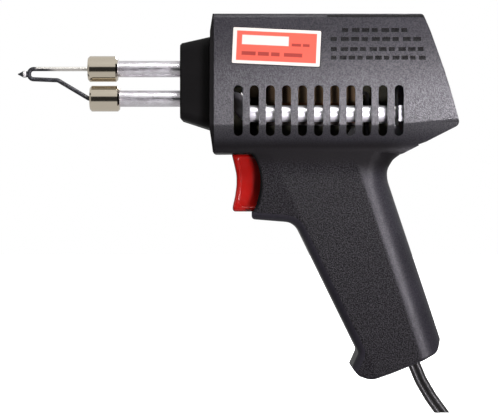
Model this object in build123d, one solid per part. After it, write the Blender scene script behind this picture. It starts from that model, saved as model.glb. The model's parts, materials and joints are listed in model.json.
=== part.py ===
from build123d import *
import math
import os

# Pistol-grip transformer soldering gun, as separate parts in their assembled places.
# Millimetres. +Z is up, -X points to the soldering tip, +Y is the screw side and -Y the
# label side. Parts are drawn about a datum near the trigger; save() moves them by FRAME, so
# that the origin is the centre of the envelope, on the parting plane between the shells.
FRAME = (0.6035, 0, 1.3756)

# Driving sizes shared by several parts
WALL = 2.4
BODY_HALF = 25.0          # half width over the flat sides
GRIP_HALF = 17.0          # half width of the handle
FOOT_EXTRA = 0.8          # how much further the foot's outline reaches on each side
BODY_FRONT = -10.6        # plane where the nose cap meets the shells
BODY_TOP = 93.2
BODY_FLOOR = 28.2
FOLD_Z = 41.0             # where the flat side turns under
ROD_R = 3.95              # the secondary loop's rod
UPPER_Z = 68.9            # height of its two front branches
LOWER_Z = 54.7
STACK_HALF = 8.0          # half thickness of the iron core
PLUNGER_Z = 17.0
HOOK_YS = (-18.0, 18.0)   # the nose cap's hooks
CLAMP_XS = (74.5, 87.0)   # the cord clamp's screws
CLAMP_Z = -55.0
THROUGH = 20              # half length of cutters that pass right through
CLEAR = 0.05              # small gap between neighbouring parts

os.makedirs("parts", exist_ok=True)


def save(name, *shapes):
    """Writes one file holding every solid of the shapes."""
    moved = [Location(FRAME) * solid for shape in shapes for solid in shape.solids()]
    whole = moved[0] if len(moved) == 1 else Compound(children=moved)
    export_step(whole, "parts/" + name + ".step")


# ---------------------------------------------------------- drawing helpers ---
# An outline is an anticlockwise list of corners (x, z, corner radius).
def side(start, end):
    """Unit direction and length of the straight side between two corners."""
    length = math.hypot(end[0] - start[0], end[1] - start[1])
    return (end[0] - start[0]) / length, (end[1] - start[1]) / length, length


def inward(outline, inset):
    """Moves every side of an outline inwards by inset."""
    if not inset:
        return outline
    lines = []
    for i, (x, z, _) in enumerate(outline):
        dir_x, dir_z, _ = side(outline[i], outline[(i + 1) % len(outline)])
        lines.append((x - dir_z * inset, z + dir_x * inset, dir_x, dir_z))
    moved = []
    for i, (_, _, radius) in enumerate(outline):
        in_x, in_z, in_dx, in_dz = lines[i - 1]
        out_x, out_z, out_dx, out_dz = lines[i]
        cross = in_dx * out_dz - in_dz * out_dx         # positive at a convex corner
        along = ((out_x - in_x) * out_dz - (out_z - in_z) * out_dx) / cross
        if radius:
            radius = max(radius - inset if cross > 0 else radius + inset, 0.4)
        moved.append((in_x + in_dx * along, in_z + in_dz * along, radius))
    return moved


def rounded(outline, place=lambda x, z: (x, 0, z)):
    """The face bounded by an outline; place puts its points in space."""
    count = len(outline)
    sides = [side(outline[i - 1], outline[i]) for i in range(count)]    # side i ends at corner i
    turns, trims = [], []
    for i in range(count):
        before, after = sides[i], sides[(i + 1) % count]
        cosine = before[0] * after[0] + before[1] * after[1]
        turns.append(math.acos(max(-1.0, min(1.0, cosine))))
        trims.append(outline[i][2] * math.tan(turns[i] / 2))
    for i in range(count):                  # neighbouring arcs share the side between them
        after = (i + 1) % count
        for other, length in ((i - 1, sides[i][2]), (after, sides[after][2])):
            room, wanted = length * 0.98, trims[i] + trims[other]
            if wanted > room:
                trims[i] *= room / wanted

    edges, first, last = [], None, None
    for i, (x, z, _) in enumerate(outline):
        before, after, turn, trim = sides[i], sides[(i + 1) % count], turns[i], trims[i]
        sharp = trim < 1e-4 or turn < 1e-3
        if sharp:
            start = end = Vector(*place(x, z))
        else:
            start = Vector(*place(x - before[0] * trim, z - before[1] * trim))
            end = Vector(*place(x + after[0] * trim, z + after[1] * trim))
        if last is not None and (start - last).length > 1e-5:
            edges.append(Edge.make_line(last, start))
        if first is None:
            first = start
        if not sharp:
            radius = trim / math.tan(turn / 2)
            depth = radius / math.cos(turn / 2) - radius
            in_x, in_z = after[0] - before[0], after[1] - before[1]
            size = math.hypot(in_x, in_z)
            middle = Vector(*place(x + in_x / size * depth, z + in_z / size * depth))
            edges.append(Edge.make_three_point_arc(start, middle, end))
        last = end
    if (first - last).length > 1e-5:
        edges.append(Edge.make_line(last, first))
    return make_face(Wire(edges))


def slab(outline, half):
    """An X-Z outline made into a solid from y = -half to +half."""
    return extrude(rounded(outline), amount=half, dir=(0, 1, 0), both=True)


def edged_slab(outline, half, *rounds):
    """A slab whose side edges picked by each (radius, keep(x, z)) are rounded."""
    solid = slab(outline, half)
    for radius, keep in rounds:
        solid = fillet([edge for edge in solid.edges()
                        if abs(abs(edge.center().Y) - half) < 0.01
                        and keep(edge.center().X, edge.center().Z)], radius)
    return solid


def both_sides(face, y_from, y_to):
    """An X-Z face made into two solids, y_from to y_to on each side."""
    return [extrude(Location((0, sign * y_from, 0)) * face, amount=y_to - y_from, dir=(0, sign, 0))
            for sign in (-1, 1)]


def bent(points, radii):
    """A wire through the points, its corners arcs of the given radii (one or a list)."""
    points = [Vector(*point) for point in points]
    if not isinstance(radii, list):
        radii = [radii] * (len(points) - 2)
    edges, last = [], points[0]
    for before, corner, after, radius in zip(points, points[1:], points[2:], radii):
        dir_in, dir_out = (corner - before).normalized(), (after - corner).normalized()
        turn = math.acos(max(-1.0, min(1.0, dir_in.dot(dir_out))))
        trim = radius * math.tan(turn / 2)
        start, end = corner - dir_in * trim, corner + dir_out * trim
        centre = corner + (dir_out - dir_in).normalized() * (radius / math.cos(turn / 2))
        middle = centre + (corner - centre).normalized() * radius
        if (start - last).length > 1e-6:
            edges.append(Edge.make_line(last, start))
        edges.append(Edge.make_three_point_arc(start, middle, end))
        last = end
    edges.append(Edge.make_line(last, points[-1]))
    return Wire(edges)


def rod(points, radius, radii):
    path = bent(points, radii)
    return sweep(Plane(origin=path @ 0, z_dir=path % 0) * Circle(radius), path=path)


def cyl(radius, start, end):
    axis = Vector(*end) - Vector(*start)
    return extrude(Plane(origin=start, z_dir=axis.normalized()) * Circle(radius),
                   amount=axis.length)


def cyl_x(radius, x_from, x_to, z):
    return cyl(radius, (x_from, 0, z), (x_to, 0, z))


def cyl_y(radius, x, z, y_from, y_to):
    return cyl(radius, (x, y_from, z), (x, y_to, z))


def block(x_from, x_to, y_from, y_to, z_from, z_to):
    centre = ((x_from + x_to) / 2, (y_from + y_to) / 2, (z_from + z_to) / 2)
    return Location(centre) * Box(x_to - x_from, y_to - y_from, z_to - z_from)


def pan_screw(x, z, y_head, y_tip, head_r, head_h, shank_r):
    """A cross-slotted screw along Y, its head on the +Y end."""
    screw = cyl_y(head_r, x, z, y_head, y_head + head_h) + cyl_y(shank_r, x, z, y_tip, y_head + 0.1)
    top, arm = y_head + head_h, head_r * 0.6
    for half_x, half_z in ((arm, 0.4), (0.4, arm)):
        screw -= block(x - half_x, x + half_x, top - 1.1, top + 1, z - half_z, z + half_z)
    return screw


# ---------------------------------------------------------- housing outlines ---
BODY_LINE = [
    (BODY_FRONT, BODY_TOP, 0), (BODY_FRONT, BODY_FLOOR, 0), (66.0, 28.6, 0), (78.4, 27.9, 0),
    (104.3, 41.2, 2.4), (102.4, 48.5, 60), (99.9, 57.3, 60), (97.0, 66.7, 60), (93.7, 76.0, 60),
    (90.3, 85.4, 60), (86.9, BODY_TOP, 2.0),
]
# room behind the trigger's arc, inside the frame that carries it
FRAME_ROOM = [
    (37.6, 37.6, 0), (8.2, 37.6, 0), (8.2, 30.1, 0), (10.1, 27.2, 0), (12.2, 23.6, 0),
    (13.3, 18.8, 0), (13.6, 14.0, 0), (13.1, 9.0, 0), (11.6, 3.6, 0), (10.2, -0.65, 0),
    (12.2, -0.9, 0), (28.8, -2.2, 0), (33.2, -10.7, 0), (37.6, -11.3, 0),
]
# foot of the handle, with the hook for the little finger
FOOT_LINE = [
    (110.0, 20.0, 0), (12.0, 20.0, 0), (20.0, -6.0, 0), (54.25, -62.0, 6.5), (54.25, -73.2, 3.8),
    (57.6, -77.3, 4.6), (63.6, -79.3, 8.5), (72.7, -76.2, 20), (88.2, -69.9, 20),
    (94.6, -66.2, 6.0), (96.6, -59.6, 0), (110.0, -15.0, 0),
]
# underside and back of the handle, past the foot that trims it, up to the body
HAND_BACK = [
    (46.0, -92.0, 0), (107.4, -92.0, 0), (75.4, 4.0, 40), (71.6, 15.6, 14), (71.4, 20.4, 8),
    (74.2, 25.1, 6),
]
# the handle with the trigger frame
HAND_LINE = [
    (86.0, 34.0, 0), (5.8, 34.0, 0), (5.8, 29.5, 0), (8.2, 26.2, 10), (10.0, 22.8, 12),
    (10.95, 18.6, 14), (11.2, 14.0, 14), (10.7, 9.2, 14), (9.4, 4.6, 10), (8.0, 0.9, 0),
    (7.05, 0.3, 0), (7.05, -3.1, 0), (27.5, -4.75, 8), (57.5, -66.1, 2.5),
] + HAND_BACK
# the simpler line the handle's cavity is drawn from
HAND_CORE = [(86.0, 34.0, 0), (9.2, 34.0, 0), (57.9, -66.4, 3)] + HAND_BACK

FOLD_REAR_Z = 44.2        # height of the fold at FOLD_REAR_X
FOLD_REAR_X = 112.0
FOLD_RISE_X = 72.0        # where the fold starts to rise
NECK_Z = 31.0             # where the turned-under side meets the handle's side
HAND_SPLIT_Z = -6         # the foot trims the handle below this height


def section(x, fold_z, inset=0):
    """The body's cross-section at x, its sides turning under at fold_z."""
    left_side = [(-BODY_HALF, BODY_TOP, 2.6), (-BODY_HALF, fold_z, 2.4),
                 (-GRIP_HALF, NECK_Z, 7.0), (-GRIP_HALF, BODY_FLOOR - 4, 0)]
    right_side = [(-y, z, radius) for y, z, radius in reversed(left_side)]
    return rounded(inward(left_side + right_side, inset), lambda y, z: (x, y, z))


def body_solid(inset):
    """The side outline crossed with the cross-section carried along X."""
    start_x = BODY_FRONT - 30
    front = extrude(section(start_x, FOLD_Z, inset), amount=FOLD_RISE_X - start_x, dir=(1, 0, 0))
    rear = loft([section(FOLD_RISE_X, FOLD_Z, inset), section(FOLD_REAR_X, FOLD_REAR_Z, inset)],
                ruled=True)
    return slab(inward(BODY_LINE, inset), BODY_HALF + 1) & (front + rear)


def hand_on_foot(hand, foot):
    """The handle with its lower part trimmed by the foot."""
    low = (hand & block(-20, 120, -30, 30, -95, HAND_SPLIT_Z)) & foot
    high = hand & block(-20, 120, -30, 30, HAND_SPLIT_Z, 40)
    return high + low


def grip_outside():
    """Broad round back, tighter front, foot and trigger frame."""
    hand = edged_slab(HAND_LINE, GRIP_HALF,
                      (10.0, lambda x, z: -90 < z < 33 and x > 70),
                      (4.5, lambda x, z: -90 < z < -1.6 and 7.3 < x < 60))
    foot = edged_slab(FOOT_LINE, GRIP_HALF + FOOT_EXTRA,
                      (3.4, lambda x, z: -80 < z < -58 and x < 96.0))
    return hand_on_foot(hand, foot)


def grip_cavity():
    half = GRIP_HALF - WALL
    top, bottom = 33 - WALL, -90 + WALL
    hand = edged_slab(inward(HAND_CORE, WALL), half,
                      (4.6, lambda x, z: bottom < z < top and x > 70),
                      (2.6, lambda x, z: bottom < z < top and 7.3 < x < 60))
    foot = slab([(x, z, 0) for x, z, _ in inward(FOOT_LINE, WALL)], half + FOOT_EXTRA)
    return hand_on_foot(hand, foot) + slab(FRAME_ROOM, half - 0.04)


# ------------------------------------------------------------ housing shells ---
VENT_COUNT = 11           # on each side
VENT_FIRST_X = 0.72
VENT_PITCH = 7.518
VENT_WIDE = 4.25
VENT_LOW, VENT_HIGH = 36.0, 59.6

SLOPE_SLOT = [(86.1, 30.6, 0), (89.4, 32.3, 0), (88.8, 33.9, 0), (85.5, 32.2, 0)]
LIP_CORNER = [(6.0, -1.9, 0), (7.1, -1.9, 0), (7.27, -2.5, 0), (7.7, -2.95, 0),
              (8.4, -3.18, 0), (8.4, -4.6, 0), (6.0, -4.6, 0)]
FOOT_SLOT = [(77.6, -58, 0), (79.8, -66, 0), (82.0, -74, 0), (83.6, -82, 0),
             (92.4, -82, 0), (89.4, -74, 0), (87.0, -66, 0), (84.9, -58, 0)]
SCREWS = [(-4.2, 86.2), (80.5, 86.2), (94.3, 46.5), (-4.2, 34.3), (58.9, 3.0), (66.5, -67.5)]
HEAD_Y = 8.0              # bottom of the screw heads' counterbores
BOSS_END = 26             # bosses start out here and are trimmed to the outside
POSTS = [(33.0, 72.0), (80.0, 72.0)]      # (x, z) of the posts beside the core
RIB_XS = (34.55, 72.14)   # ribs under the loop that steady the lower yoke

LABEL_X, LABEL_Z = 18.6, 77.4
LABEL_TILT = math.radians(2.6)
# rows of plain dashes beside the label: (z, first x, last x, count)
DASH_ROWS = [(85.3, 49.2, 81.4, 7), (81.1, 43.8, 87.2, 9),
             (76.4, 44.0, 89.0, 10), (72.4, 44.0, 89.2, 11)]


def hollow_shell(outer):
    """Both halves in one, with the openings they share."""
    shell = outer - (body_solid(WALL) + grip_cavity())
    cuts = []
    for i in range(VENT_COUNT):
        centre = (VENT_FIRST_X + VENT_PITCH * i, 0, (VENT_LOW + VENT_HIGH) / 2)
        slot = (Plane(origin=centre, x_dir=(0, 0, 1), z_dir=(0, -1, 0))
                * SlotOverall(VENT_HIGH - VENT_LOW, VENT_WIDE))
        cuts += both_sides(slot, 12.0, 27.0)
    cuts.append(slab(SLOPE_SLOT, 21.0))                       # across the rear slope
    cuts.append(slab(LIP_CORNER, 21.0))                       # lip's lower corner
    cuts.append(block(-2.0, 20.0, -9.8, 9.8, 0.2, 28.1))      # trigger's way in
    cuts += [cyl_x(ROD_R + 0.15, -14, -5, z) for z in (UPPER_Z, LOWER_Z)]
    cuts += [block(-14, -5, y - 1.85, y + 1.85, 57.8, 66.2) for y in HOOK_YS]
    cuts.append(slab(FOOT_SLOT, 1.75))                        # round the cord's path
    return shell - cuts


def core_bosses(sign):
    """Posts beside the core and ribs under the loop, on the -Y or +Y side."""
    post_span = sorted((sign * (STACK_HALF + 0.1), sign * BOSS_END))
    rib_span = sorted((sign * 9.1, sign * BOSS_END))
    return ([cyl_y(3.2, x, z, *post_span) for x, z in POSTS]
            + [block(x - 1.2, x + 1.2, *rib_span, 33.0, 39.5) for x in RIB_XS])


def label_plate(width, height, corner, y, thick):
    """A tilted rounded plate on the left side, from y outwards."""
    face = Plane(origin=(LABEL_X, 0, LABEL_Z),
                 x_dir=(math.cos(LABEL_TILT), 0, -math.sin(LABEL_TILT)),
                 z_dir=(0, -1, 0)) * RectangleRounded(width, height, corner)
    return extrude(Location((0, y, 0)) * face, amount=thick, dir=(0, -1, 0))


def dash_marks():
    marks = []
    for z, x_first, x_last, count in DASH_ROWS:
        step = (x_last - x_first) / count
        for i in range(count):
            width = step * (0.78 if i % 3 else 0.62)
            x = x_first + i * step
            marks.append(block(x, x + width, -BODY_HALF - 1, -BODY_HALF + 0.45, z - 0.95, z + 0.95))
    return marks


def left_shell(shell, outer):
    """The -Y half, which takes the screws' threads, the cord clamp and the label."""
    bosses = [cyl_y(3.6, x, z, -BOSS_END, -CLEAR) for x, z in SCREWS] + core_bosses(-1)
    bosses += [cyl_y(2.6, x, CLAMP_Z, -16, 1.4) for x in CLAMP_XS]
    holes = [cyl_y(1.55, x, z, -13.0, 1) for x, z in SCREWS]
    holes += [cyl_y(1.05, x, CLAMP_Z, -7, 2) for x in CLAMP_XS]
    half = shell & block(-30, 120, -30, -CLEAR, -100, 110)
    half = half + [boss & outer for boss in bosses]
    half = half - holes
    half = half - label_plate(42.0, 17.8, 0.8, -BODY_HALF + 0.6, 2)
    return half - dash_marks()


def right_shell(shell, outer):
    """The +Y half, with the counterbored screw holes."""
    bosses = [cyl_y(4.4, x, z, CLEAR, BOSS_END) for x, z in SCREWS] + core_bosses(1)
    holes = []
    for x, z in SCREWS:
        holes += [cyl_y(1.7, x, z, -1, HEAD_Y + 1), cyl_y(3.35, x, z, HEAD_Y, 27)]
    half = shell & block(-30, 120, CLEAR, 30, -100, 110)
    half = half + [boss & outer for boss in bosses]
    return half - holes


outer_solid = body_solid(0) + grip_outside()
shared_shell = hollow_shell(outer_solid)
save("left_shell", left_shell(shared_shell, outer_solid))
save("right_shell", right_shell(shared_shell, outer_solid))
save("shell_screws", *[pan_screw(x, z, y_head=HEAD_Y + CLEAR, y_tip=-11.5, head_r=3.1,
                                 head_h=2.4, shank_r=1.5) for x, z in SCREWS])
save("face_label", label_plate(41.0, 16.7, 0.6, -BODY_HALF + 0.57, 0.35))

# ------------------------------------------------------------------ nose cap ---
FLANGE_LINE = [(-10.7, 93.2, 0), (-11.2, 93.2, 0.2), (-12.5, 84.8, 2), (-12.7, 39.2, 2),
               (-12.1, 34.9, 2), (-11.3, 28.6, 0.2), (-10.7, 28.4, 0)]
# snout stations: (x, low z, high z, half width, corner radius)
SNOUT_TIP = (-26.9, 44.9, 79.5, 13.4, 3.4)
SNOUT_FRONT = (-26.1, 44.0, 80.4, 14.3, 4.2)
SNOUT_BASE = (-13.0, 39.8, 83.1, 17.4, 4.6)
SNOUT_ROOT = (-13.05, 39.8, 83.1, 17.4, 4.6)
HOLLOW_FRONT = (-24.4, 47.0, 77.4, 11.6, 2.4)
HOLLOW_BASE = (-10.0, 42.8, 80.1, 14.6, 2.6)


def frame_box(station):
    """A rounded rectangle standing across the X axis."""
    x, z_from, z_to, half, radius = station
    plane = Plane(origin=(x, 0, (z_from + z_to) / 2), x_dir=(0, 1, 0), z_dir=(1, 0, 0))
    return plane * RectangleRounded(2 * half, z_to - z_from, radius)


def nose_cap():
    flange = extrude(section(-14.0, FOLD_Z), amount=3.3, dir=(1, 0, 0))
    flange = flange & slab(FLANGE_LINE, BODY_HALF + 1)
    snout = loft([frame_box(SNOUT_FRONT), frame_box(SNOUT_BASE)], ruled=True)
    snout += loft([frame_box(SNOUT_TIP), frame_box(SNOUT_FRONT)], ruled=True)
    snout += extrude(frame_box(SNOUT_ROOT), amount=1.5, dir=(1, 0, 0))
    nose = (flange + snout) - loft([frame_box(HOLLOW_FRONT), frame_box(HOLLOW_BASE)], ruled=True)
    nose -= [cyl_x(ROD_R + 0.12, -28, -20, z) for z in (UPPER_Z, LOWER_Z)]
    for y in HOOK_YS:
        nose += block(-11.5, -6.9, y - 1.6, y + 1.6, 58.2, 65.8)      # stem
        nose += block(-8.0, -6.9, y - 1.6, y + 1.6, 65.0, 67.2)       # catch
    return nose


save("nose_cap", nose_cap())

# --------------------------------------------------------------- transformer ---
CORE_FRONT, CORE_REAR = 28.0, 86.5
WINDOW_FRONT, WINDOW_REAR = 46.0, 76.9
CORE_BOTTOM, CORE_TOP = 32.5, 76.0
WINDOW_FLOOR = 41.5
JOINT_Z = 67.0            # where the I stack sits on the U stack
LEG_X = (CORE_FRONT + WINDOW_FRONT) / 2      # middle of the leg inside the coil
BOLT_X = 56.0
UPPER_BOLT_Z, LOWER_BOLT_Z = 71.6, 37.0
BOLT_HOLE_R = 2.1
LINER_HALF = 8.9
BOBBIN_Z = 41.7
BOBBIN_HIGH = 25.0
CHEEK = 0.9               # thickness of the bobbin's end plates
WINDOW_SHEET = [(76.6, 65.5, 0), (60.35, 65.5, 0), (60.35, 51.5, 0), (60.85, 51.5, 0),
                (60.85, 41.8, 0), (67.5, 41.8, 0), (67.5, 50.9, 0), (76.6, 50.9, 0)]
PHASE_SHEET = [(9.2, 31.0, 0), (9.2, 32.6, 0), (13.2, 32.6, 0), (13.2, 55.4, 0), (2.0, 55.4, 0),
               (2.0, 60.6, 0), (-3.6, 60.6, 0), (-3.6, 38.95, 0), (-1.75, 38.2, 0),
               (-0.5, 37.2, 0), (0.38, 35.5, 0), (0.5, 31.0, 0)]
LOOP_Z = 46.6             # height of the secondary rod beside the coil
LOOP_Y = 17.5
LOOP_REAR = 71.8


def core_stack(outline):
    stack = slab(outline, STACK_HALF)
    for z in (UPPER_BOLT_Z, LOWER_BOLT_Z):
        stack -= cyl_y(BOLT_HOLE_R, BOLT_X, z, -THROUGH, THROUGH)
    return stack


def core_bolts():
    """A slotted bolt and a hexagon nut through each yoke; the lower pair clamps the liner."""
    solids = []
    for z, half in ((UPPER_BOLT_Z, STACK_HALF), (LOWER_BOLT_Z, LINER_HALF)):
        seat = half + CLEAR
        bolt = cyl_y(2.0, BOLT_X, z, -seat - 2.4, seat) + cyl_y(3.4, BOLT_X, z, seat, seat + 2.2)
        bolt -= block(BOLT_X - 4, BOLT_X + 4, seat + 1.3, seat + 3, z - 0.45, z + 0.45)
        plane = Plane(origin=(BOLT_X, -seat, z), z_dir=(0, -1, 0), x_dir=(1, 0, 0))
        nut = extrude(plane * RegularPolygon(3.6, 6), amount=2.0)
        nut -= cyl_y(2.05, BOLT_X, z, -THROUGH, THROUGH)
        solids += [bolt, nut]
    return solids


def oval(half_long, half_wide, z):
    """A full-round oval across Z, centred on the leg."""
    return Location((LEG_X, 0, z)) * SlotOverall(2 * half_long, 2 * half_wide)


def leg_hole(z, gap):
    """The leg's rectangle with a gap all round."""
    return Location((LEG_X, 0, z)) * Rectangle(WINDOW_FRONT - CORE_FRONT + 2 * gap,
                                               2 * STACK_HALF + 2 * gap)


def tube_z(outer_face, inner_face, height):
    return (extrude(outer_face, amount=height, dir=(0, 0, 1))
            - extrude(inner_face, amount=height, dir=(0, 0, 1)))


def coil_bobbin():
    bobbin = tube_z(leg_hole(BOBBIN_Z, 1.0), leg_hole(BOBBIN_Z, 0.15), BOBBIN_HIGH)
    for z in (BOBBIN_Z, BOBBIN_Z + BOBBIN_HIGH - CHEEK):
        bobbin += tube_z(oval(23.6, 13.3, z), leg_hole(z, 0.15), CHEEK)
    return bobbin


def core_liner():
    """A tray round the lower yoke, raised at the rear."""
    liner = block(9.6, 73.6, -LINER_HALF, LINER_HALF, 31.75, 41.3)
    liner = liner + block(61.2, 73.6, -LINER_HALF, LINER_HALF, 41.0, 42.45)
    liner = liner - block(9, 75, -8.2, 8.2, 32.35, 43)
    return liner - cyl_y(BOLT_HOLE_R, BOLT_X, LOWER_BOLT_Z, -THROUGH, THROUGH)


def core_bracket():
    """A strap across the core's rear with an arm forward on each side."""
    bracket = block(75.4, 88.2, -21.0, 21.0, 42.9, 50.4) - block(70, 86.9, -19.6, 19.6, 40, 55)
    return bracket - block(70, 76.0, -30, 30, 40, 55)


def rod_spacer():
    """The plate inside the front of the shells that both rods pass through."""
    return (block(-7.95, -4.9, -9, 9, 46.5, 77.0)
            - [cyl_x(ROD_R + 0.1, -12, 0, z) for z in (UPPER_Z, LOWER_Z)])


save("core_u_stack", core_stack([
    (CORE_REAR, JOINT_Z - CLEAR, 0), (WINDOW_REAR, JOINT_Z - CLEAR, 0),
    (WINDOW_REAR, WINDOW_FLOOR, 0), (WINDOW_FRONT, WINDOW_FLOOR, 0),
    (WINDOW_FRONT, JOINT_Z - CLEAR, 0), (CORE_FRONT, JOINT_Z - CLEAR, 0),
    (CORE_FRONT, CORE_BOTTOM, 0), (80.0, CORE_BOTTOM, 0), (CORE_REAR, 38.0, 0)]))
save("core_i_stack", core_stack([
    (CORE_REAR, CORE_TOP, 0), (CORE_FRONT, CORE_TOP, 0),
    (CORE_FRONT, JOINT_Z + CLEAR, 0), (CORE_REAR, JOINT_Z + CLEAR, 0)]))
save("core_bolts", *core_bolts())
save("coil_bobbin", coil_bobbin())
save("primary_winding", tube_z(oval(22.8, 12.85, 42.7), leg_hole(42.7, 1.1), 23.0))
save("winding_tape", tube_z(oval(23.15, 13.2, 52.0), oval(22.9, 12.95, 52.0), 9.0))
save("core_liner", core_liner())
save("core_bracket", core_bracket())
# insulating sheets that keep the loop's two branches and the coil's end apart
save("phase_barrier", extrude(rounded(PHASE_SHEET, lambda x, z: (x, 4.4, z)),
                              amount=0.6, dir=(0, 1, 0)))
save("window_barrier", slab(WINDOW_SHEET, 0.3))
save("rod_spacer", rod_spacer())

# ------------------------------------------- secondary loop, collars and tip ---
COLLAR_R = 6.2
COLLAR_LONG = 14.3
UPPER_COLLAR_X = -71.4    # front faces
LOWER_COLLAR_X = -70.5
ROD_STOP = 7.4            # depth from the front face to the end of the rod's bore
ROD_END = ROD_STOP + 0.1
SET_AT = 3.9              # set screw's distance from the front face
SET_R = 1.75
WIRE_R = 1.03             # soldering tip wire
BORE_R = 1.15             # the collar's bore for the tip wire
# half profile of the bead at the tip: (distance along its axis, radius)
BEAD = [(0, 0), (0, 1.2), (1.1, 1.75), (1.9, 1.7), (4.2, 0.45), (4.7, 0.3), (4.7, 0)]


def collar(front, z):
    stop, rear = front + ROD_STOP, front + COLLAR_LONG
    body = cyl_x(COLLAR_R, front, rear, z)
    body = chamfer(body.edges().filter_by(GeomType.CIRCLE), 0.9)
    body -= cyl_x(ROD_R + CLEAR, stop, rear + 1, z)
    body -= cyl_x(BORE_R, front - 1, stop + 0.5, z)
    body -= cyl_y(SET_R + CLEAR, front + SET_AT, z, 0.4, 8)
    return body


def set_screw(front, z):
    x = front + SET_AT
    screw = cyl_y(SET_R, x, z, WIRE_R + 0.12, COLLAR_R - 0.5)
    plane = Plane(origin=(x, COLLAR_R - 2.6, z), z_dir=(0, 1, 0), x_dir=(1, 0, 0))
    return screw - extrude(plane * RegularPolygon(1.0, 6), amount=4)


def soldering_tip():
    wire = rod([(-65.0, 0, UPPER_Z), (-99.8, 0, UPPER_Z), (-99.8, 0, 64.1), (-85.9, 0, 63.5),
                (-71.1, 0, LOWER_Z), (-64.2, 0, LOWER_Z)], WIRE_R, [2.2, 2.2, 2.6, 1.3])
    bead = revolve(Plane.XZ * make_face(Polyline(*BEAD, close=True)), Axis.X)
    turned = Location((0, 0, 0), (0, 0, 180)) * bead          # taper towards -X
    return wire + Location((-100.4, 0, 66.4)) * turned


save("secondary_loop", rod([
    (UPPER_COLLAR_X + ROD_END, 0, UPPER_Z), (4.0, 0, UPPER_Z), (12.0, LOOP_Y, LOOP_Z),
    (LOOP_REAR, LOOP_Y, LOOP_Z), (LOOP_REAR, -LOOP_Y, LOOP_Z), (4.6, -LOOP_Y, LOOP_Z),
    (-1.2, 0, LOWER_Z), (LOWER_COLLAR_X + ROD_END, 0, LOWER_Z)],
    ROD_R, [8.0, 8.0, 5.0, 5.0, 4.7, 4.7]))
for level, front, z in (("upper", UPPER_COLLAR_X, UPPER_Z), ("lower", LOWER_COLLAR_X, LOWER_Z)):
    save(level + "_collar", collar(front, z))
    save(level + "_set_screw", set_screw(front, z))
save("soldering_tip", soldering_tip())

# -------------------------------------------------------- trigger and switch ---
TRIG_HALF = 9.6
TRIG_LINE = [
    (14.5, 27.8, 0.5), (-2.5, 27.8, 0.6), (-1.35, 23.1, 14), (-0.2, 17.9, 16), (-0.2, 12.9, 16),
    (-0.85, 8.0, 16), (-2.0, 2.9, 6), (-2.0, 0.5, 1.4), (14.0, 0.5, 0.5), (19.5, 6.0, 0.5),
    (19.5, 22.0, 0.5),
]
# shallow recess in each side of the trigger
TRIG_RECESS = [
    (13.6, 26.1, 0.5), (0.4, 26.1, 1.2), (1.35, 21.5, 14), (2.0, 15.5, 16), (1.4, 9.6, 14),
    (0.7, 5.2, 1.6), (2.2, 2.6, 1.0), (13.6, 2.6, 0.5),
]
TRIG_NOTCH = [(21.0, 24.0, 0), (17.5, 24.0, 0), (17.5, 3.0, 0), (21.0, 3.0, 0)]    # in its rear
STUD_END = 18.3           # rear end of the trigger's stud, which meets the plunger
CASE_FRONT, CASE_REAR = 30, 54
CASE_BOTTOM, CASE_TOP = 2.0, 26.0
CASE_HALF = 8
CASE_WALL = 1.5
PIVOT_X, PIVOT_Z = 44.5, 6.5
PIVOT_HOLE_R = 1.05
SPRING_END = 29.9
SPRING_WIRE_R = 0.4


def trigger():
    body = edged_slab(TRIG_LINE, TRIG_HALF, (1.5, lambda x, z: x < 0.5 and z < 27))
    for recess in both_sides(rounded(TRIG_RECESS), TRIG_HALF - 0.9, TRIG_HALF + 2):
        body -= recess
    body -= slab(TRIG_NOTCH, 6.5)
    body += block(15.0, 18.2, -12.6, 12.6, 9.0, 19.0)         # crossbar
    body += cyl_x(2.3, 15, STUD_END, PLUNGER_Z)
    return body


def case_block(inset, y_from, y_to):
    return block(CASE_FRONT + inset, CASE_REAR - inset, y_from, y_to,
                 CASE_BOTTOM + inset, CASE_TOP - inset)


def pivot_hole(y_from, y_to):
    return cyl_y(PIVOT_HOLE_R, PIVOT_X, PIVOT_Z, y_from, y_to)


def switch_case():
    case = case_block(0, -CASE_HALF, CASE_HALF)
    case -= case_block(CASE_WALL, -CASE_HALF + CASE_WALL, CASE_HALF + 1)
    case -= cyl_x(1.65, 28, 33, PLUNGER_Z)
    case -= pivot_hole(-7.5, 0)
    case -= [block(x, x + 2, -1.6, 1.6, 1, 4) for x in (43.2, 50.9)]      # ways out for contacts
    return case


def switch_plunger():
    end = 41.6
    plunger = cyl_x(1.6, STUD_END + CLEAR, end, PLUNGER_Z)
    plunger = plunger + Location((end, 0, PLUNGER_Z)) * Sphere(1.6)
    return plunger + cyl_x(2.2, 32.0, 33.2, PLUNGER_Z)


def contact_arm():
    arm = block(PIVOT_X - 0.8, PIVOT_X + 0.8, -3, 3, PIVOT_Z, 22.2)
    arm = arm + cyl_y(1.9, PIVOT_X, PIVOT_Z, -3, 3)
    arm += cyl_x(1.2, 45.2, 46.0, 20.5)
    return arm - pivot_hole(-5, 5)


def trigger_spring(turns=6, radius=3.1):
    """A compression spring along X."""
    start = STUD_END + CLEAR
    height = SPRING_END - start - 2 * SPRING_WIRE_R
    path = Helix(pitch=height / turns, height=height, radius=radius)
    coil = sweep(Plane(origin=path @ 0, z_dir=path % 0) * Circle(SPRING_WIRE_R), path=path)
    return Location((start + SPRING_WIRE_R, 0, PLUNGER_Z), (0, 90, 0)) * coil


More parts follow.
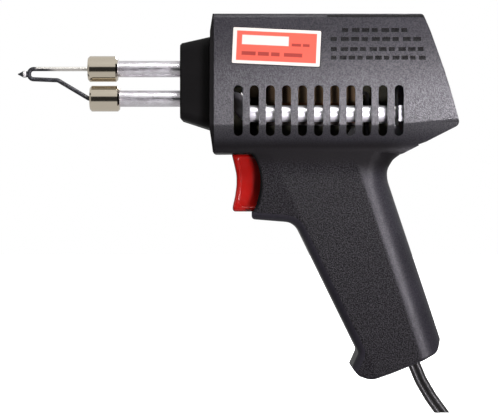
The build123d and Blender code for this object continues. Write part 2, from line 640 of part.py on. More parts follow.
save("trigger", trigger())
save("switch_case", switch_case())
save("switch_cover", case_block(CASE_WALL + 0.1, 6.6, CASE_HALF) - pivot_hole(5, 7.4))
save("switch_plunger", switch_plunger())
save("contact_pin", cyl_y(1.0, PIVOT_X, PIVOT_Z, -7.45, 7.35))
save("contact_arm", contact_arm())
save("switch_contacts",
     block(51.85, 52.4, -2.4, 2.4, 3.6, 23.0) + block(51.85, 52.4, -1.4, 1.4, -1.4, 4.0),
     block(43.9, 44.5, -1.4, 1.4, -1.4, 4.2))
save("trigger_spring", trigger_spring())

# ---------------------------------------------------------------- mains side ---
LOBE_R = 1.55             # the cord is two joined round lobes
LOBE_SPACING = 2.9        # between their centres
CORD = [(76.8, 0, -40.0), (84.9, 0, -72.5), (88.3, 0, -80.6), (93.0, 0, -88.6), (101.6, 0, -100.4)]
CORD_END_Z = -95.951      # the free end is cut off level here
LEAD_R = 0.85
RISER_X, RISER_Y = 61.9, 11.3      # where leads run up beside the coil, on either side
RISER_TOP = 56.5


def cord_jacket():
    path = bent(CORD, [16, 24, 30])
    along = path % 0
    start = Plane(origin=path @ 0, z_dir=along, x_dir=Vector(-along.Z, 0, along.X))
    profile = ((start * Location((LOBE_SPACING / 2, 0, 0)) * Circle(LOBE_R))
               + (start * Location((-LOBE_SPACING / 2, 0, 0)) * Circle(LOBE_R)))
    return sweep(profile, path=path) & block(60, 130, -10, 10, CORD_END_Z, 0)


def crimp_sleeve():
    """A tube round the neutral lead's riser."""
    return (cyl(1.75, (RISER_X, RISER_Y, 31.0), (RISER_X, RISER_Y, 40.0))
            - cyl(0.95, (RISER_X, RISER_Y, 30.0), (RISER_X, RISER_Y, 41.0)))


save("cord_jacket", cord_jacket())
save("cord_clamp", block(71.6, 89.7, 1.75, 4.2, CLAMP_Z - 3, CLAMP_Z + 3)
     - [cyl_y(1.2, x, CLAMP_Z, 0, 6) for x in CLAMP_XS])
save("clamp_screws", *[pan_screw(x, CLAMP_Z, y_head=4.25, y_tip=-6.0, head_r=2.1,
                                 head_h=1.4, shank_r=1.0) for x in CLAMP_XS])
save("line_lead", rod([(75.3, 0, -39.4), (72.0, 0, -30.0), (54.0, 0, -13.0), (52.1, 0, -1.55)],
                      LEAD_R, 4))
save("neutral_lead", rod([
    (78.1, 0, -38.6), (72.0, 3.0, -16.0), (66.5, 8.0, 3.0), (RISER_X, RISER_Y, 24.0),
    (RISER_X, RISER_Y, RISER_TOP), (56.6, 11.0, 57.5)], LEAD_R, [4, 4, 4, 1.6]))
save("switch_lead", rod([
    (44.2, 0, -2.1), (44.2, -RISER_Y, -7.0), (45.0, -RISER_Y, 27.0), (RISER_X, -RISER_Y, 30.2),
    (RISER_X, -RISER_Y, RISER_TOP), (56.6, -11.0, 57.5)], LEAD_R, [2.5, 3, 3, 1.6]))
save("crimp_sleeve", crimp_sleeve())
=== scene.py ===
"""Looks and studio for a pistol-shaped soldering gun.

X runs from the bent wire tip (-X) to the back of the handle (+X), Z is up,
and the left side, with the label, faces -Y. Shader positions are in millimetres.
"""
import bpy, bmesh, json, math
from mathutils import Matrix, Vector


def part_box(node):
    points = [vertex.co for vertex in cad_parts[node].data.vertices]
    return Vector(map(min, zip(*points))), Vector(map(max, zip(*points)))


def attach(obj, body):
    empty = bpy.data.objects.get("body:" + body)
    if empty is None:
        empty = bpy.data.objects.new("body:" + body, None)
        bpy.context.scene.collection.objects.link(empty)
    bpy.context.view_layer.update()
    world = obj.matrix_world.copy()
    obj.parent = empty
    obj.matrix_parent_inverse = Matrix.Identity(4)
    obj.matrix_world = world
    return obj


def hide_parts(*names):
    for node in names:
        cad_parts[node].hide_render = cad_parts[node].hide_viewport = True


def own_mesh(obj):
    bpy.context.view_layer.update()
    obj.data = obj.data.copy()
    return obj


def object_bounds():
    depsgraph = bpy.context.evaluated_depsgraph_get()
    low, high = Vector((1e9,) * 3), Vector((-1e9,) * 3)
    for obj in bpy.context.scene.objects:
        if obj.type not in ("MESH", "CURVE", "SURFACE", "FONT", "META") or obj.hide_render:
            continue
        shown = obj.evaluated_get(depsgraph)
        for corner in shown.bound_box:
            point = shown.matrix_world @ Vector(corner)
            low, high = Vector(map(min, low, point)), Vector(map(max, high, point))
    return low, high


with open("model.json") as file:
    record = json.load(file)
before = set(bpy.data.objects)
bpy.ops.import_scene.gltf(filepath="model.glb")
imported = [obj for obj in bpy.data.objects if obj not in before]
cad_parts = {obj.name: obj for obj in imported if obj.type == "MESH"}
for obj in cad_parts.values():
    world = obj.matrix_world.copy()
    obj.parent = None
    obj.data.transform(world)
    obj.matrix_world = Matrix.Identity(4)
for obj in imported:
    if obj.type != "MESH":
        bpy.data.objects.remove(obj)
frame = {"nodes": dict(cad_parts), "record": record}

CAD_LOW, CAD_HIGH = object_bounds()
MM = 0.001
# Origin of the part's drawing datum in the row frame, mm
DATUM_X, DATUM_Z = 0.6035, 1.3756


# ------------------------------------------------------------------ shader graphs
class Field:
    """A shader output that takes part in sums; each operator adds one math node."""

    def __init__(self, graph, socket, datum=0.0):
        self.graph, self.socket, self.datum = graph, socket, datum

    def __add__(self, other):
        return self.graph.math("ADD", self, other)

    def __radd__(self, other):
        return self.graph.math("ADD", other, self)

    def __sub__(self, other):
        return self.graph.math("SUBTRACT", self, other)

    def __rsub__(self, other):
        return self.graph.math("SUBTRACT", other, self)

    def __mul__(self, other):
        return self.graph.math("MULTIPLY", self, other)

    def __rmul__(self, other):
        return self.graph.math("MULTIPLY", other, self)

    def span(self, start, end, to=(0.0, 1.0), kind="SMOOTHSTEP"):
        """Map start..end onto the range `to`; start may be above end."""
        node = self.graph.node("ShaderNodeMapRange", interpolation_type=kind)
        names = ("From Min", "From Max", "To Min", "To Max")
        for name, value in zip(names, (start, end, *to)):
            node.inputs[name].default_value = value
        self.graph.feed(node.inputs["Value"], self)
        return Field(self.graph, node.outputs[0])

    def part_span(self, start, end, to=(0.0, 1.0)):
        """Like span, with start and end given in the part's drawing datum."""
        return self.span(start + self.datum, end + self.datum, to)


class Graph:
    def __init__(self, tree):
        self.tree = tree

    def node(self, kind, **settings):
        node = self.tree.nodes.new(kind)
        for name, value in settings.items():
            setattr(node, name, value)
        return node

    def feed(self, socket, value):
        """Drive a socket with a Field, an RGB tuple or a number."""
        if isinstance(value, Field):
            self.tree.links.new(value.socket, socket)
        else:
            socket.default_value = (*value, 1) if isinstance(value, tuple) else value

    def math(self, operation, *operands, clamp=False):
        node = self.node("ShaderNodeMath", operation=operation, use_clamp=clamp)
        for socket, operand in zip(node.inputs, operands):
            self.feed(socket, operand)
        return Field(self, node.outputs[0])

    def split(self, vector, datum=(0.0, 0.0, 0.0)):
        node = self.node("ShaderNodeSeparateXYZ")
        self.feed(node.inputs[0], vector)
        return [Field(self, socket, start) for socket, start in zip(node.outputs, datum)]

    def mix(self, factor, first, second, data_type="RGBA"):
        # the Mix node has separate sockets for each data type
        first_in, second_in, result = {"FLOAT": (2, 3, 0), "RGBA": (6, 7, 2)}[data_type]
        node = self.node("ShaderNodeMix", data_type=data_type)
        self.feed(node.inputs[0], factor)
        self.feed(node.inputs[first_in], first)
        self.feed(node.inputs[second_in], second)
        return Field(self, node.outputs[result])


class Mat(Graph):
    """A Principled material whose coordinates are millimetres in the row frame."""

    def __init__(self, name, base, rough, metal=0.0, spec=0.5, coat=0.0):
        self.material = bpy.data.materials.new(name)
        self.material.use_nodes = True
        super().__init__(self.material.node_tree)
        self.put("Base Color", base)
        self.put("Roughness", rough)
        self.put("Metallic", metal)
        self.put("Specular IOR Level", spec)
        self.put("Coat Weight", coat)
        coordinates = self.node("ShaderNodeTexCoord")
        scale = self.node("ShaderNodeVectorMath", operation="SCALE")
        scale.inputs["Scale"].default_value = 1000.0  # metres to mm
        self.feed(scale.inputs[0], Field(self, coordinates.outputs["Object"]))
        self.position = Field(self, scale.outputs[0])
        self.normal = None

    def put(self, name, value):
        self.feed(self.tree.nodes["Principled BSDF"].inputs[name], value)

    def xyz(self):
        return self.split(self.position, (DATUM_X, 0.0, DATUM_Z))

    def stretch(self, *scale):
        node = self.node("ShaderNodeMapping")
        node.inputs["Scale"].default_value = scale
        self.feed(node.inputs[0], self.position)
        return Field(self, node.outputs[0])

    def noise(self, scale, detail=3.0, rough=0.55, at=None):
        node = self.node("ShaderNodeTexNoise")
        self.feed(node.inputs["Scale"], scale)
        self.feed(node.inputs["Detail"], detail)
        self.feed(node.inputs["Roughness"], rough)
        self.feed(node.inputs["Vector"], at or self.position)
        return Field(self, node.outputs["Fac"])

    def uneven(self, scale, detail, to=(0.0, 1.0)):
        """Noise with its middle range stretched over `to`."""
        return self.noise(scale, detail).span(0.3, 0.7, to)

    def ramp(self, factor, *stops):
        """Colour ramp with two stops, each a position and an RGB tuple."""
        node = self.node("ShaderNodeValToRGB")
        for element, (position, color) in zip(node.color_ramp.elements, stops):
            element.position = position
            element.color = (*color, 1)
        self.feed(node.inputs[0], factor)
        return Field(self, node.outputs[0])

    def set_normal(self, node):
        self.normal = Field(self, node.outputs[0])
        self.put("Normal", self.normal)

    def bevel(self, radius_mm, samples):
        """Edges rounded in the shading only."""
        node = self.node("ShaderNodeBevel", samples=samples)
        node.inputs["Radius"].default_value = radius_mm * MM
        self.set_normal(node)

    def bump(self, height, depth_mm, strength):
        """Add a bump on top of the bevel or bumps already made."""
        node = self.node("ShaderNodeBump")
        node.inputs["Distance"].default_value = depth_mm * MM
        self.feed(node.inputs["Strength"], strength)
        self.feed(node.inputs["Height"], height)
        if self.normal:
            self.feed(node.inputs["Normal"], self.normal)
        self.set_normal(node)

    def vary(self, base, amount, scale):
        """Slow uneven tone over a base colour."""
        self.put("Base Color", self.mix(self.noise(scale, detail=2.0), *tones(base, amount)))


def tones(base, amount):
    """A darker and a lighter version of a colour."""
    dark = tuple(c * (1 - amount) for c in base)
    light = tuple(min(1.0, c * (1 + amount)) for c in base)
    return dark, light


def stripes(mat, coordinate, pitch, depth_mm):
    """Ridges at a pitch in mm along a coordinate; returns the height as 0..1."""
    height = mat.math("SINE", coordinate * (2 * math.pi / pitch)) * 0.5 + 0.5
    mat.bump(height, depth_mm, strength=0.8)
    return height


# ------------------------------------------------------------------ general materials
def plain(name, base, rough, metal=0.0, spec=0.5, amount=0.15, grain=1.5, depth_mm=0.03):
    mat = Mat(name, base, rough, metal, spec)
    mat.vary(base, amount, scale=0.12)
    rough_range = (rough * 0.88, min(1.0, rough * 1.12))
    mat.put("Roughness", mat.uneven(scale=0.8, detail=4.0, to=rough_range))
    mat.bump(mat.noise(grain), depth_mm, strength=0.4)
    return mat


def brushed(name, base, rough, along, amount=0.08, depth_mm=0.02):
    """Metal with fine draw lines along one axis."""
    mat = Mat(name, base, rough, metal=1.0)
    scale = [0.05 if axis == along else 3.0 for axis in "xyz"]
    lines = mat.noise(scale=1.4, detail=4.0, rough=0.6, at=mat.stretch(*scale))
    mat.put("Base Color", mat.mix(lines, *tones(base, amount)))
    mat.put("Roughness", lines.span(0.3, 0.7, to=(rough * 0.8, rough * 1.25)))
    mat.bump(lines, depth_mm, strength=0.5)
    return mat


def woven(name, base, pitch=0.9):
    mat = Mat(name, base, rough=0.85, spec=0.3)
    x, y, z = mat.xyz()
    around = mat.math("SINE", (x + y) * (2 * math.pi / pitch))
    upward = mat.math("SINE", z * (2 * math.pi / pitch))
    weave = around * upward
    shadow = tuple(c * 0.6 for c in base)
    mat.put("Base Color", mat.mix(weave.span(-1, 1), shadow, base))
    mat.bump(weave, depth_mm=0.06, strength=0.7)
    return mat


# ------------------------------------------------------------------ housing
HANDLE_LEAN = 0.333  # the back edge moves this far in -X for each mm up
HANDLE_BACK = 75.4 + 4 * HANDLE_LEAN + DATUM_X + DATUM_Z * HANDLE_LEAN
RIM_LEAN = 0.488  # the same for the front rim of the handle
RECESS_X, RECESS_Z, RECESS_RADIUS = -16.2, 13.55, 27.4  # round trigger recess
CROWN_BASE_Z, CROWN_SPAN, CROWN_SLOPE = 41.0, 104.0, 0.29  # parabola of the side crown


def housing(name):
    base = (0.0148, 0.0136, 0.0178)
    # painted shade colour for the web under the body
    web_shade_color = (0.0095, 0.0088, 0.0095)
    shade_color = (0.003, 0.003, 0.003)
    mat = Mat(name, base, rough=0.5)
    x, y, z = mat.xyz()
    half_width = mat.math("ABSOLUTE", y)

    # stippled panel: the flat side of the handle, short of its back band
    low = z.part_span(26.5, 20.5)
    flat = half_width.span(16.75, 16.9)
    lean = x + z * HANDLE_LEAN
    panel = low * flat * lean.span(HANDLE_BACK - 11.0, HANDLE_BACK - 13.6)

    # floors of the engraved dashes on the left side, painted near-black as shade
    engraved = y.span(-24.93, -24.88) * y.span(-24.3, -24.4)
    engraved = engraved * (x.span(42.5, 43.0) * z.span(70.5, 71.5))

    # web between the body and the handle; painted shade darkens it under the body
    web = z.part_span(36.0, 31.0) * z.part_span(14.0, 24.0) * lean.span(106.0, 80.0)

    # narrow edge of the trigger recess, painted near-black as shade
    from_x = x - (RECESS_X + DATUM_X)
    from_z = z - (RECESS_Z + DATUM_Z)
    gap = mat.math("SQRT", from_x * from_x + from_z * from_z, 0.0) - RECESS_RADIUS
    shade = gap.span(1.9, 0.3) * (z.part_span(29.0, 27.0) * z.part_span(-1.0, 3.0))
    shade = shade * (x.span(15.0, 13.5) * half_width.span(11.0, 12.0))

    # colour: slow tone, painted shade on the web, speckled panel, painted near-black shade
    # in the recesses
    color = mat.mix(mat.uneven(scale=0.035, detail=2.0), *tones(base, 0.15))
    color = mat.mix(web, color, web_shade_color)
    specks = mat.ramp(mat.noise(scale=1.7, detail=2.0, rough=0.5),
                      (0.38, (0.0035, 0.0034, 0.0038)),
                      (0.66, (0.028, 0.0265, 0.0295)))
    color = mat.mix(panel, color, specks)
    dark = mat.math("MAXIMUM", engraved, shade)
    mat.put("Base Color", mat.mix(dark, color, shade_color))

    # the panel is a little rougher, the engraving much rougher
    rough = mat.uneven(scale=0.6, detail=4.0, to=(0.42, 0.50))
    extra = panel * 0.06 + engraved * 0.4
    mat.put("Roughness", mat.math("ADD", rough, extra, clamp=True))

    # the sides of the body are very slightly crowned from top to bottom
    rise = z - (CROWN_BASE_Z + DATUM_Z)
    crown = CROWN_SLOPE * (rise - rise * rise * (1.0 / CROWN_SPAN))
    body_side = half_width.span(24.2, 24.8) * z.part_span(40.0, 43.0)
    mat.bump(crown, depth_mm=1.0, strength=body_side)
    # fine grain all over, coarser on the body and deepest on the panel
    mat.bump(mat.noise(scale=2.6, rough=0.6), depth_mm=0.05, strength=0.5)
    body = z.part_span(30.0, 38.0)
    sparkle = mat.noise(scale=1.7, detail=2.0, rough=0.6)
    mat.bump(sparkle, depth_mm=0.20, strength=body * 0.9)
    mat.bump(mat.noise(scale=1.7, detail=2.0, rough=0.5), depth_mm=0.50, strength=panel)

    # specular: strongest low on the body, weak on the panel, recess, web and front rim.
    # Painted sheen falls off up the body and towards the foot of the handle; painted shade
    # cuts it on the recess edge, web, front rim and low under the body
    rim = z.part_span(30.0, 26.0) * (x + z * RIM_LEAN).span(31.5, 29.5)
    specular = 0.62 - panel * 0.38
    specular = specular * (1.0 - shade * 0.9)
    specular = specular * z.part_span(-70.0, 15.0, to=(0.55, 1.08))  # up the handle
    specular = specular * (1.0 - web * 0.90)
    specular = specular * z.part_span(34.0, 43.0, to=(0.42, 1.0))  # into the body
    specular = specular * (1.0 - rim * 0.55)
    specular = specular * z.part_span(42.0, 88.0, to=(1.26, 0.46))  # up the body
    specular = specular * sparkle.span(0.32, 0.68, to=(0.66, 1.34))
    mat.put("Specular IOR Level", specular)
    return mat


# ------------------------------------------------------------------ other materials
def nose(name):
    base = (0.0062, 0.0058, 0.006)
    mat = Mat(name, base, rough=0.6, spec=0.06)
    mat.vary(base, amount=0.3, scale=0.08)
    mat.put("Roughness", mat.uneven(scale=0.5, detail=4.0, to=(0.48, 0.6)))
    mat.bump(mat.noise(scale=3.0), depth_mm=0.04, strength=0.5)
    return mat


def winding(name):
    """Copper turns stacked in Z, slightly wavy."""
    copper, groove = (0.30, 0.115, 0.045), (0.05, 0.018, 0.008)
    mat = Mat(name, copper, rough=0.32, metal=0.35)
    z = mat.xyz()[2]
    wavy = z + mat.noise(scale=0.08, detail=1.0) * 0.5
    height = stripes(mat, wavy, pitch=0.62, depth_mm=0.2)
    mat.put("Base Color", mat.mix(height, groove, copper))
    return mat


def laminations(name):
    """Steel sheets stacked in Y, with patches of rust."""
    steel, groove, rust = (0.15, 0.15, 0.16), (0.05, 0.05, 0.055), (0.10, 0.06, 0.04)
    mat = Mat(name, steel, rough=0.42, metal=0.85)
    y = mat.xyz()[1]
    height = stripes(mat, y, pitch=0.5, depth_mm=0.1)
    rusty = mat.noise(scale=0.25, detail=4.0).span(0.55, 0.75)
    mat.put("Base Color", mat.mix(rusty, mat.mix(height, groove, steel), rust))
    return mat


LABEL_X, LABEL_Z = 18.6, 77.4  # label centre in the drawing datum, mm
LABEL_TILT = math.radians(2.6)
PAPER, RED_FIELD = (0.70, 0.64, 0.58), (0.70, 0.105, 0.07)
PALE_BAND, INK = (0.68, 0.61, 0.56), (0.30, 0.04, 0.03)
# left, right, bottom, top in mm from the label centre; colour. Later ones lie on top.
LABEL_BLOCKS = [
    (-18.7, 18.7, -6.9, 6.9, RED_FIELD),
    (-16.2, 5.6, 0.6, 5.0, PALE_BAND),
    (7.0, 11.4, 0.6, 1.9, INK),
    (12.2, 15.4, 0.6, 1.9, INK),
    (-16.2, -9.6, -4.4, -2.6, INK),
    (-8.6, -3.4, -4.4, -2.6, INK),
    (-2.4, 1.6, -4.4, -2.6, INK),
    (3.6, 12.2, -4.4, -2.6, INK),
]


def label(name):
    edge_softness = 0.12  # mm
    mat = Mat(name, (0.85, 0.84, 0.82), rough=0.42, spec=0.2)
    x, _, z = mat.xyz()
    from_x = x - (LABEL_X + DATUM_X)
    from_z = z - (LABEL_Z + DATUM_Z)
    cos, sin = math.cos(LABEL_TILT), math.sin(LABEL_TILT)
    across = from_x * cos - from_z * sin
    upward = from_x * sin + from_z * cos

    color = PAPER
    for left, right, bottom, top, block_color in LABEL_BLOCKS:
        beside = mat.math("ABSOLUTE", across - (left + right) / 2) - (right - left) / 2
        above = mat.math("ABSOLUTE", upward - (bottom + top) / 2) - (top - bottom) / 2
        outside = mat.math("MAXIMUM", beside, above)
        inside = outside.span(edge_softness, -edge_softness, kind="LINEAR")
        color = mat.mix(inside, color, block_color)
    mat.put("Base Color", color)
    mat.put("Roughness", mat.uneven(scale=1.2, detail=3.0, to=(0.36, 0.5)))
    mat.bump(mat.noise(scale=0.5, detail=2.0), depth_mm=0.04, strength=0.4)
    return mat


def trigger_red(name):
    """Glossy red, with a painted shadow darkening it towards the top."""
    bright, deep = (0.33, 0.0048, 0.0027), (0.13, 0.0020, 0.0012)
    mat = Mat(name, (0.31, 0.0045, 0.0025), rough=0.2, spec=0.30, coat=0.16)
    mat.put("Coat Roughness", 0.12)
    mat.bevel(radius_mm=0.7, samples=10)
    z = mat.xyz()[2]
    mottle = mat.uneven(scale=0.08, detail=2.0, to=(0.0, 0.3)) * 1.0
    # painted shadow: deeper red towards the top, under the housing, over a random mottle
    tone = mat.math("ADD", mottle, z.part_span(25.0, 32.0, to=(0.0, 0.7)), clamp=True)
    mat.put("Base Color", mat.mix(tone, bright, deep))
    mat.put("Roughness", mat.uneven(scale=0.5, detail=3.0, to=(0.16, 0.25)))
    mat.bump(mat.noise(scale=0.9, detail=2.0), depth_mm=0.02, strength=0.25)
    return mat


def tip_metal(name):
    """Bright tinned upper leg; dark oxide towards the bend and along the lower leg."""
    # the second colour is tin painted bright as a highlight
    tinned, tin_highlight_color = (0.80, 0.77, 0.72), (0.80, 0.78, 0.76)
    mat = Mat(name, (0.5, 0.48, 0.46), rough=0.3, metal=1.0)
    x, _, z = mat.xyz()
    patch = mat.noise(scale=0.5, detail=4.0, rough=0.6)
    lower_leg = z.part_span(68.2, 67.2) * patch.span(0.22, 0.42, to=(0.75, 1.0))
    ragged_x = x + (patch - 0.5) * 6.0
    bend = ragged_x.span(-94.5 + DATUM_X, -97.0 + DATUM_X)
    underside = x.part_span(-84.0, -92.0) * z.part_span(69.35, 68.75)
    oxide = mat.math("MAXIMUM", mat.math("MAXIMUM", lower_leg, bend), underside)
    # painted highlight: a narrow band of tin near the point is painted bright
    tin_highlight = x.part_span(-101.0, -101.4) * x.part_span(-102.7, -102.2)  # narrow bright band
    dark = mat.mix(mat.noise(scale=1.5).span(0.40, 0.70),
                   (0.012, 0.012, 0.014), (0.05, 0.05, 0.06))
    mat.put("Base Color", mat.mix(tin_highlight, mat.mix(oxide, tinned, dark), tin_highlight_color))
    mat.put("Roughness", 0.30 + oxide * 0.22)
    mat.put("Metallic", 0.95 - oxide * 0.55)
    mat.bump(mat.noise(scale=1.0), depth_mm=0.10, strength=0.5)
    return mat


def tube_metal(name):
    """Tin plate: dulled and streaked outside; inside the housing painted pale, less metallic
    and rougher as painted light.
    """
    streak_dark, streak_light = (0.50, 0.485, 0.525), (0.86, 0.84, 0.86)
    blot_color, pale_painted_light = (0.60, 0.57, 0.60), (0.74, 0.73, 0.76)
    dark_bend_color = (0.022, 0.016, 0.009)
    mat = Mat(name, (0.6, 0.6, 0.62), rough=0.3, metal=1.0)
    x, _, z = mat.xyz()
    # painted light: inside the housing the tube is painted pale, less metallic and rougher
    inside = x.span(-9.0, -5.0)
    lines = mat.noise(scale=1.0, detail=4.0, rough=0.6, at=mat.stretch(0.10, 1.3, 1.3))
    blots = mat.noise(scale=0.30, detail=4.0, rough=0.6).span(0.4, 0.65)
    outer = mat.mix(blots, mat.mix(lines, streak_dark, streak_light), blot_color)
    # upper branch painted dark, less metallic and less shiny where it bends inside the
    # housing
    sleeve = x.part_span(3.0, 4.5) * z.part_span(49.5, 51.0)
    mat.put("Base Color", mat.mix(sleeve, mat.mix(inside, outer, pale_painted_light), dark_bend_color))
    mat.put("Metallic", 0.9 - inside * 0.35 - sleeve * 0.55)
    mat.put("Specular IOR Level", 0.5 - sleeve * 0.35)
    mat.put("Roughness", lines.span(0.3, 0.7, to=(0.22, 0.36)) + inside * 0.12)
    mat.bump(lines, depth_mm=0.02, strength=0.5)
    return mat


def cord_rubber(name):
    base = (0.014, 0.0135, 0.013)
    mat = Mat(name, base, rough=0.46, spec=0.35)
    mat.vary(base, amount=0.2, scale=0.1)
    mat.put("Roughness", mat.uneven(scale=0.7, detail=4.0, to=(0.36, 0.5)))
    mat.bump(mat.noise(scale=1.2), depth_mm=0.06, strength=0.4)
    return mat


# material slot: builder and its options
RECIPES = {
    "housing": (housing, {}),
    "nose": (nose, {}),
    "screw_steel": (brushed, dict(base=(0.42, 0.42, 0.43), rough=0.35, along="y")),
    "label": (label, {}),
    "core_steel": (laminations, {}),
    "bobbin": (plain, dict(base=(0.07, 0.06, 0.05), rough=0.55)),
    "enamelled_wire": (winding, {}),
    "coil_tape": (woven, dict(base=(0.16, 0.105, 0.055))),
    "fish_paper": (plain, dict(base=(0.024, 0.023, 0.013), rough=0.75, spec=0.2,
                               amount=0.35, grain=2.5, depth_mm=0.05)),
    "bright_steel": (brushed, dict(base=(0.62, 0.62, 0.66), rough=0.3, along="z")),
    "plated_tube": (tube_metal, {}),
    "nickel": (brushed, dict(base=(0.66, 0.59, 0.48), rough=0.11, along="x",
                             amount=0.05, depth_mm=0.008)),
    "tinned_wire": (tip_metal, {}),
    "trigger_red": (trigger_red, {}),
    "spring_steel": (plain, dict(base=(0.45, 0.45, 0.46), rough=0.3, metal=1.0)),
    "switch_case": (plain, dict(base=(0.05, 0.05, 0.055), rough=0.5)),
    "plunger": (plain, dict(base=(0.55, 0.53, 0.48), rough=0.45)),
    "contact_brass": (brushed, dict(base=(0.62, 0.46, 0.19), rough=0.3, along="z")),
    "cord": (cord_rubber, {}),
    "lead_black": (plain, dict(base=(0.02, 0.02, 0.02), rough=0.4)),
    "lead_white": (plain, dict(base=(0.66, 0.64, 0.60), rough=0.4)),
    "sleeve": (woven, dict(base=(0.4, 0.37, 0.31), pitch=0.6)),
}
# builders whose material is named otherwise than its slot
MATERIAL_NAMES = {
    "enamelled_wire": "winding",
    "core_steel": "laminations",
    "plated_tube": "tube",
    "tinned_wire": "tip",
    "trigger_red": "trigger",
}
materials = {slot: build(MATERIAL_NAMES.get(slot, slot), **options).material
             for slot, (build, options) in RECIPES.items()}

slots = {part["node"]: part["material_slot"] for part in frame["record"]["subparts"]}
for name, ob in frame["nodes"].items():
    ob.data.materials.clear()
    ob.data.materials.append(materials[slots[name]])


# ------------------------------------------------------------------ return spring
def sweep_tube(points, radius, sides):
    """Vertices and faces of a capped round tube along a list of points."""
    verts, faces = [], []
    last = len(points) - 1
    start = (points[1] - points[0]).normalized()
    up = Vector((0, 0, 1)) if abs(start.z) < 0.9 else Vector((0, 1, 0))
    normal = (up - start * up.dot(start)).normalized()
    for i, point in enumerate(points):
        tangent = (points[min(i + 1, last)] - points[max(i - 1, 0)]).normalized()
        normal = (normal - tangent * normal.dot(tangent)).normalized()
        side = tangent.cross(normal)
        for k in range(sides):
            angle = 2 * math.pi * k / sides
            verts.append(point + normal * (math.cos(angle) * radius)
                         + side * (math.sin(angle) * radius))
        if i:
            before, here = (i - 1) * sides, i * sides
            for k in range(sides):
                after = (k + 1) % sides
                faces.append((before + k, before + after, here + after, here + k))
    faces.append(tuple(range(sides))[::-1])
    faces.append(tuple(last * sides + k for k in range(sides)))
    return verts, faces


def return_spring():
    """Coil wound along X between the trigger and the switch."""
    wire_radius = 0.0004
    turns, steps = 7.0, 24
    end_share = 0.1  # share of the length taken by the closed coil at each end
    low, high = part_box("trigger_spring")
    centre_y, centre_z = (low.y + high.y) / 2, (low.z + high.z) / 2
    coil_radius = (high.z - low.z) / 2 - wire_radius
    length = high.x - low.x - 2 * wire_radius

    points = []
    for i in range(int(turns * steps) + 1):
        angle = 2 * math.pi * i / steps
        turn = i / (turns * steps) * turns
        if turn < 1:
            share = turn * end_share
        elif turn > turns - 1:
            share = 1.0 - (turns - turn) * end_share
        else:
            share = end_share + (turn - 1) / (turns - 2) * (1 - 2 * end_share)
        points.append(Vector((low.x + wire_radius + share * length,
                              centre_y + coil_radius * math.cos(angle),
                              centre_z + coil_radius * math.sin(angle))))

    verts, faces = sweep_tube(points, wire_radius, sides=8)
    mesh = bpy.data.meshes.new("return_spring")
    mesh.from_pydata(verts, [], faces)
    mesh.update()
    spring = bpy.data.objects.new("return_spring", mesh)
    bpy.context.scene.collection.objects.link(spring)
    mesh.materials.append(materials["spring_steel"])
    bm = bmesh.new()
    bm.from_mesh(mesh)
    bmesh.ops.recalc_face_normals(bm, faces=bm.faces)
    bm.to_mesh(mesh)
    bm.free()
    for face in mesh.polygons:
        face.use_smooth = True
    mesh.set_sharp_from_angle(angle=math.radians(40.0))
    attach(spring, "housing")
    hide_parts("trigger_spring")
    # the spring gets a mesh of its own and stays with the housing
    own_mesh(spring)


return_spring()

# ------------------------------------------------------------------ stage
VIEW_X, VIEW_Z = 5.76, 2.208  # centre of the view in the drawing datum, mm
VIEW_DISTANCE, VIEW_WIDTH = 900.0, 239.04  # mm
SENSOR_WIDTH = 36.0  # mm


def camera():
    data = bpy.data.cameras.new("camera")
    data.sensor_width = SENSOR_WIDTH
    data.lens = SENSOR_WIDTH * VIEW_DISTANCE / VIEW_WIDTH
    data.clip_start = 0.05
    data.clip_end = 20
    ob = bpy.data.objects.new("camera", data)
    ob.location = ((VIEW_X + DATUM_X) * MM, -VIEW_DISTANCE * MM, (VIEW_Z + DATUM_Z) * MM)
    ob.rotation_euler = (math.radians(90), 0, 0)
    bpy.context.scene.collection.objects.link(ob)
    bpy.context.scene.camera = ob


def floor():
    """White glowing floor, hidden from reflected and diffuse rays."""
    half, gap = 3.0, 0.0006
    z = CAD_LOW.z - gap
    corners = [(-half, -half, z), (half, -half, z), (half, half, z), (-half, half, z)]
    mesh = bpy.data.meshes.new("floor")
    mesh.from_pydata(corners, [], [(0, 1, 2, 3)])
    ob = bpy.data.objects.new("floor", mesh)
    bpy.context.scene.collection.objects.link(ob)
    mat = Mat("floor", (0.92, 0.92, 0.92), rough=0.9, spec=0.1)
    tone = mat.noise(scale=0.01, detail=2.0)
    mat.put("Base Color", mat.mix(tone, (0.91, 0.91, 0.91), (0.94, 0.94, 0.94)))
    mat.put("Emission Color", (1, 1, 1))
    mat.put("Emission Strength", 1.0)
    mesh.materials.append(mat.material)
    ob.visible_glossy = False
    ob.visible_diffuse = False


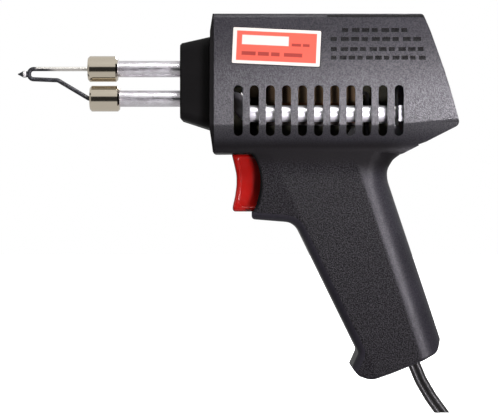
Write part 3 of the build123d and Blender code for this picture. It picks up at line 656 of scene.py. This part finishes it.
# name, place, target, size (m), power (W), colour
LIGHTS = [
    ("key", (0.170, -0.390, -0.070), (0.07, 0, 0.052), 0.10, 2.85, (1.0, 0.955, 1.03)),
    ("top", (0.12, -0.40, 0.66), (0.04, 0, 0.03), 0.20, 5.0, (1, 1, 1)),
    ("rear", (0.25, 0.62, 0.40), (0.02, 0, 0.03), 0.35, 3.0, (1, 1, 1)),
    ("fill", (-0.65, -0.55, 0.25), (-0.02, 0, 0.03), 0.35, 0.8, (1, 1, 1)),
]


def lights():
    for name, place, target, size, power, color in LIGHTS:
        data = bpy.data.lights.new(name, "AREA")
        data.energy = power
        data.color = color
        data.size = size
        ob = bpy.data.objects.new(name, data)
        ob.location = place
        ob.rotation_mode = "QUATERNION"
        ob.rotation_quaternion = (Vector(target) - Vector(place)).to_track_quat("-Z", "Y")
        bpy.context.scene.collection.objects.link(ob)
        ob.visible_camera = False


def studio():
    """White to the camera, with separate gradients for diffuse light and reflections."""
    world = bpy.data.worlds.new("studio")
    bpy.context.scene.world = world
    world.use_nodes = True
    graph = Graph(world.node_tree)
    coordinates = graph.node("ShaderNodeTexCoord")
    _, y, z = graph.split(Field(graph, coordinates.outputs["Generated"]))

    # diffuse light: brighter behind the part (+Y) and above it
    diffuse = y.span(-0.55, 0.45, to=(0.05, 0.85)) * z.span(-0.75, 0.35, to=(0.22, 1.0))

    # reflections: bright above, below and behind, dark around the camera
    above = z.span(0.19, 0.34)
    below = z.span(-0.36, -0.56, to=(0.0, 0.85))
    behind = y.span(-0.25, 0.30, to=(0.04, 0.85))
    brightest = graph.math("MAXIMUM", graph.math("MAXIMUM", above, below), behind)
    shine = brightest * 0.74

    rays = graph.node("ShaderNodeLightPath").outputs
    is_glossy = Field(graph, rays["Is Glossy Ray"])
    is_camera = Field(graph, rays["Is Camera Ray"])
    unseen = graph.mix(is_glossy, diffuse, shine, "FLOAT")
    background = world.node_tree.nodes["Background"].inputs
    graph.feed(background["Color"], (1, 1, 1))
    graph.feed(background["Strength"], graph.mix(is_camera, unseen, 1.0, "FLOAT"))


camera()
floor()
lights()
studio()

view = bpy.context.scene.view_settings
view.view_transform = "Standard"
view.look = "None"
view.exposure = 0.0
